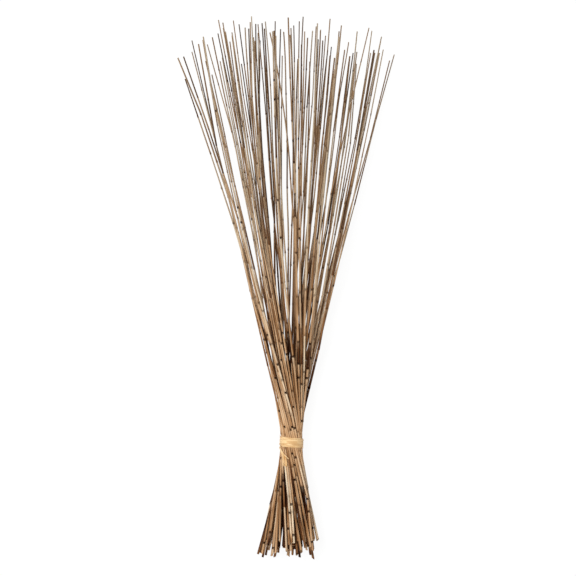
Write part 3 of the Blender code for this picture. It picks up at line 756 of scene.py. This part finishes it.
def laid_strip(name, route, rng, curl, tone, rise, least, materials):
    """A strip lying on the reeds: a flat section carried along a route, as high as what is under it.

    With s the share of its length, it rises over that by rise[0] sin(pi s) + rise[1] s squared."""
    angle, along, width = np.array(route, float).T
    fine = np.linspace(0, len(route) - 1, STRIP_STEPS * (len(route) - 1) + 1)
    at = np.arange(len(route))
    path = np.column_stack([np.interp(fine, at, np.radians(angle) * TIE_RADIUS), np.interp(fine, at, along)])
    for _ in range(12):
        path[1:-1] += 0.5 * (0.5 * (path[2:] + path[:-2]) - path[1:-1])
    width = np.interp(fine, at, width)
    width[-len(STRIP_END):] *= STRIP_END
    heading = np.gradient(path, axis=0)
    side = np.column_stack([-heading[:, 1], heading[:, 0]]) / np.linalg.norm(heading, axis=1)[:, None]
    across, lift = strand_section(STRIP_POINTS)
    offset = across * width[:, None] / 2
    arc = path[:, :1] + side[:, :1] * offset
    level = path[:, 1:] + side[:, 1:] * offset
    base = np.maximum(reeds_under(arc, level).max(axis=1), least)
    for _ in range(8):
        base[1:-1] = np.maximum(base[1:-1], 0.5 * (base[2:] + base[:-2]))
    share = fine / fine[-1]
    base += rise[0] * np.sin(math.pi * share) + rise[1] * share**2
    phase = rng.uniform(0, 6)
    ridge = STRIP_RIDGE * np.sin(offset * 2 * math.pi / FIBRE_SPACING + phase) * (1 - across ** 4)
    up = lift * (TAIL_THICKNESS / 2) + np.where(lift > 0, ridge, 0.0) + curl * across ** 2
    points = around_tie(arc, level, base[:, None] + TAIL_THICKNESS / 2 + up)
    travelled = np.concatenate([[0], np.cumsum(np.linalg.norm(np.diff(path, axis=0), axis=1))])
    return strand_mesh(name, points, travelled * MM + rng.uniform(0, 3), tone, materials)


def frayed_fibres(rng, materials):
    """Single fibres that stand out of the wound turns, each a thin strip that rises towards its end."""
    fibres = []
    outside = STRAND_INSIDE + LAYER + STRAND_THICKNESS / 2
    for angle, along, count, turning, going in FRAYS:
        for _ in range(count):
            stray = [rng.uniform(-reach, reach) for reach in FRAY_STRAY]
            start = np.array([angle + stray[0], along + stray[1], FRAY_WIDTH])
            step = np.array([turning, going, -0.4 * FRAY_WIDTH]) * rng.uniform(*FRAY_REACH, 3)
            bend = rng.normal(0, FRAY_BEND, 2)
            route = [start + step * share + np.array([step[0] * bend[0], step[1] * bend[1], 0]) * share**2
                     for share in (0.0, 0.35, 0.7, 1.0)]
            fibres.append(laid_strip("raffia_fibre", route, rng, 0.0, rng.uniform(0, 0.6),
                                     (0.3, rng.uniform(*FRAY_RISE)), outside, materials))
    return fibres


def strand_mesh(name, points, length, tone, materials):
    """A strand as a closed tube, with its UV across and along and one tone."""
    rings, sides = points.shape[:2]
    around = np.arange(sides + 1) / sides
    return grid_mesh(name, points * MM, {"tone": np.full(rings, tone)}, around, length, materials, 0)


def joined(objects, name):
    """Several meshes as one object at the origin."""
    with bpy.context.temp_override(active_object=objects[0], selected_editable_objects=objects):
        bpy.ops.object.join()
    objects[0].name = name
    objects[0].data.name = name
    return objects[0]


class ReedLook(bpy.types.PropertyGroup):
    """Sizes and colours of the reeds."""

    growth: FloatProperty(
        name="Skin growth", description="How far the skin stands out of the solid reed",
        default=0.1 * MM, unit="LENGTH")
    ring_height: FloatProperty(
        name="Ring height", description="Half height of the dark ring at a joint, in millimetres",
        default=2.5)
    ring_rise: FloatProperty(
        name="Ring rise", description="How far a joint's ring stands out, as a share of the reed",
        default=0.1)
    bud: FloatProperty(
        name="Bud", description="Height of the dry bud above each joint", default=0.55 * MM, unit="LENGTH")
    tone: FloatProperty(
        name="Tone", description="Mean tone of the reeds, from stained to straw", default=0.68,
        subtype="FACTOR")
    # Painted shade: the inner reeds are darker as they lie in the shade of the outer ones.
    inner_painted_shade: FloatProperty(
        name="Inner shade", description="How much darker the inner reeds are", default=0.07, subtype="FACTOR")
    foot_shade: FloatProperty(
        name="Foot shade", description="How much darker the reeds are at their butts", default=0.08,
        subtype="FACTOR")
    stained: FloatProperty(
        name="Stained", description="Share of the internodes that are dark", default=0.1, subtype="FACTOR")
    streaks: FloatProperty(
        name="Streaks", description="Strength of the fine streaks", default=0.55, subtype="FACTOR")
    weathering: FloatProperty(
        name="Weathering", description="How grey the reeds are near their tips", default=0.6,
        subtype="FACTOR")


class RaffiaLook(bpy.types.PropertyGroup):
    """Colours of the raffia."""

    strand: FloatVectorProperty(
        name="Strand", description="Main colour of the raffia", size=4, subtype="COLOR",
        default=hex_colour("#F7D49E"))
    strand_shade: FloatVectorProperty(
        name="Shade", description="Deeper colour of the raffia", size=4, subtype="COLOR",
        default=hex_colour("#C9924C"))


class StageLook(bpy.types.PropertyGroup):
    """The floor, the lights and the camera."""

    floor: FloatVectorProperty(
        name="Floor", description="Colour of the opal floor, apart from the light through it",
        size=4, subtype="COLOR", default=hex_colour("#464646"))
    glow: FloatProperty(
        name="Glow", description="Light that comes through the floor from below", default=0.935)
    distance: FloatProperty(
        name="Camera distance", description="Height of the camera over the bunch", default=9.0, unit="LENGTH")
    width: FloatProperty(
        name="View width", description="Width of what the camera sees", default=1.0545, unit="LENGTH")
    key: FloatProperty(
        name="Key light", description="Power of the key light", default=91.0, unit="POWER")
    key_size: FloatProperty(
        name="Key size", description="Width of the key light", default=1.2, unit="LENGTH")
    fill: FloatProperty(
        name="Fill", description="Strength of the light from all round", default=0.34)


class OuterReeds(bpy.types.Operator):
    """Builds the outer reeds on the lines of the solids"""

    bl_idname = "reeds.outer"
    bl_label = "Outer reeds"

    def execute(self, context):
        look = context.scene.reed_look
        materials = (dried_reed_skin(look), reed_pith())
        rng = np.random.default_rng(24)
        nodes = solid_nodes()
        lines = [solid_line(node) for node in nodes]
        for node, (centres, halves), seen in zip(nodes, lines, seen_on(lines)):
            pairs = centres[1:-1, 1].reshape(-1, 2).mean(axis=1)
            stops = np.concatenate([centres[:1, 1], pairs, centres[-1:, 1]])
            made = reed_surface("dried_" + node, (centres, halves), *joint_places(stops, seen, rng), 0.0,
                                rng, look, materials)
            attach(made, "root")
            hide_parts(node)
        return {"FINISHED"}


class InnerReeds(bpy.types.Operator):
    """Lays the inner reeds between the outer ones"""

    bl_idname = "reeds.inner"
    bl_label = "Inner reeds"

    def execute(self, context):
        look = context.scene.reed_look
        materials = (dried_reed_skin(look), reed_pith())
        rng = np.random.default_rng(4)
        for number, (centres, halves) in enumerate(inner_lines(rng), start=1):
            stops = np.linspace(centres[0, 1], centres[-1, 1], INNER_JOINTS + 2)
            stops[1:-1] += rng.uniform(-JOINT_WANDER, JOINT_WANDER, INNER_JOINTS)
            made = reed_surface(f"inner_reed_{number:02d}", (centres, halves), *joint_places(stops, [], rng),
                                look.inner_painted_shade, rng, look, materials)
            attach(made, "root")
        return {"FINISHED"}


class RaffiaTie(bpy.types.Operator):
    """Winds the raffia round the bunch and lays its split end on the reeds"""

    bl_idname = "reeds.tie"
    bl_label = "Raffia tie"

    def execute(self, context):
        rng = np.random.default_rng(9)
        materials = (raffia_fibre(context.scene.raffia_look),)
        pieces = [wound_turns(rng, materials),
                  laid_strip("raffia_leaf", LEAF, rng, 0.1, 0.65, (0.5, 0.0), TIE_RADIUS, materials),
                  laid_strip("raffia_end", TAIL, rng, 0.3, 0.15, (1.8, 0.0), TIE_RADIUS, materials),
                  laid_strip("raffia_split", SPLIT, rng, 0.2, 0.0, (2.4, 0.8), TIE_RADIUS, materials)]
        tie = joined(pieces + frayed_fibres(rng, materials), "raffia_winding")
        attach(tie, "root")
        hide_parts("raffia_tie")
        return {"FINISHED"}


class Stage(bpy.types.Operator):
    """Adds the pale floor, the soft lights and the camera that looks down on the bunch"""

    bl_idname = "reeds.stage"
    bl_label = "Floor, lights and camera"

    def execute(self, context):
        look = context.scene.stage_look
        floor = bpy.data.meshes.new("floor")
        square = [(x, y, FLOOR_LEVEL) for x, y in FLOOR_CORNERS]
        floor.from_pydata(square, [], [(0, 1, 2, 3)])
        # Opal acrylic: matt and milk white, with light coming through it from below.
        opal, tree, shader = new_material("opal_acrylic")
        set_node(tree, shader, {"Base Color": look.floor, "Roughness": 0.9,
                                "Emission Color": (1, 1, 1, 1), "Emission Strength": look.glow})
        floor.materials.append(opal)
        ground = linked("floor", floor)

        world = bpy.data.worlds.new("studio")
        world.use_nodes = True
        set_node(world.node_tree, world.node_tree.nodes["Background"],
                 {"Color": (1, 1, 1, 1), "Strength": look.fill})
        context.scene.world = world
        context.scene.view_settings.view_transform = "Standard"

        key = bpy.data.lights.new("key", "AREA")
        key.shape = "DISK"
        key.size = look.key_size
        key.energy = look.key
        lamp = linked("key", key)
        lamp.location = KEY_PLACE
        lamp.rotation_euler = (-lamp.location).to_track_quat("-Z", "Y").to_euler()

        camera = bpy.data.cameras.new("camera")
        camera.sensor_width = SENSOR
        camera.lens = SENSOR * look.distance / look.width
        camera.clip_end = 50.0
        viewer = linked("camera", camera)
        middle = tie_place() * MM
        aside, along, above = CAMERA_PLACE
        viewer.location = (middle[0] + aside, middle[1] + along, look.distance + above)
        context.scene.camera = viewer
        return {"FINISHED"}


class ReedsPanel(bpy.types.Panel):
    """Lists the operators that build the bunch"""

    bl_idname = "VIEW3D_PT_bunch_of_reeds"
    bl_label = "Bunch of reeds"
    bl_space_type = "VIEW_3D"
    bl_region_type = "UI"
    bl_category = "Reeds"

    def draw(self, context):
        for operator in (OuterReeds, InnerReeds, RaffiaTie, Stage):
            self.layout.operator(operator.bl_idname)
        for look in (context.scene.reed_look, context.scene.raffia_look, context.scene.stage_look):
            box = self.layout.box()
            for key in look.__annotations__:
                box.prop(look, key)


CLASSES = (ReedLook, RaffiaLook, StageLook, OuterReeds, InnerReeds, RaffiaTie, Stage, ReedsPanel)


def register():
    for cls in CLASSES:
        bpy.utils.register_class(cls)
    bpy.types.Scene.reed_look = PointerProperty(type=ReedLook)
    bpy.types.Scene.raffia_look = PointerProperty(type=RaffiaLook)
    bpy.types.Scene.stage_look = PointerProperty(type=StageLook)


def unregister():
    for name in ("reed_look", "raffia_look", "stage_look"):
        delattr(bpy.types.Scene, name)
    for cls in reversed(CLASSES):
        bpy.utils.unregister_class(cls)


def main():
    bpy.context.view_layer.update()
    register()
    for name in ("outer", "inner", "tie", "stage"):
        getattr(bpy.ops.reeds, name)()


if __name__ == "__main__":
    main()
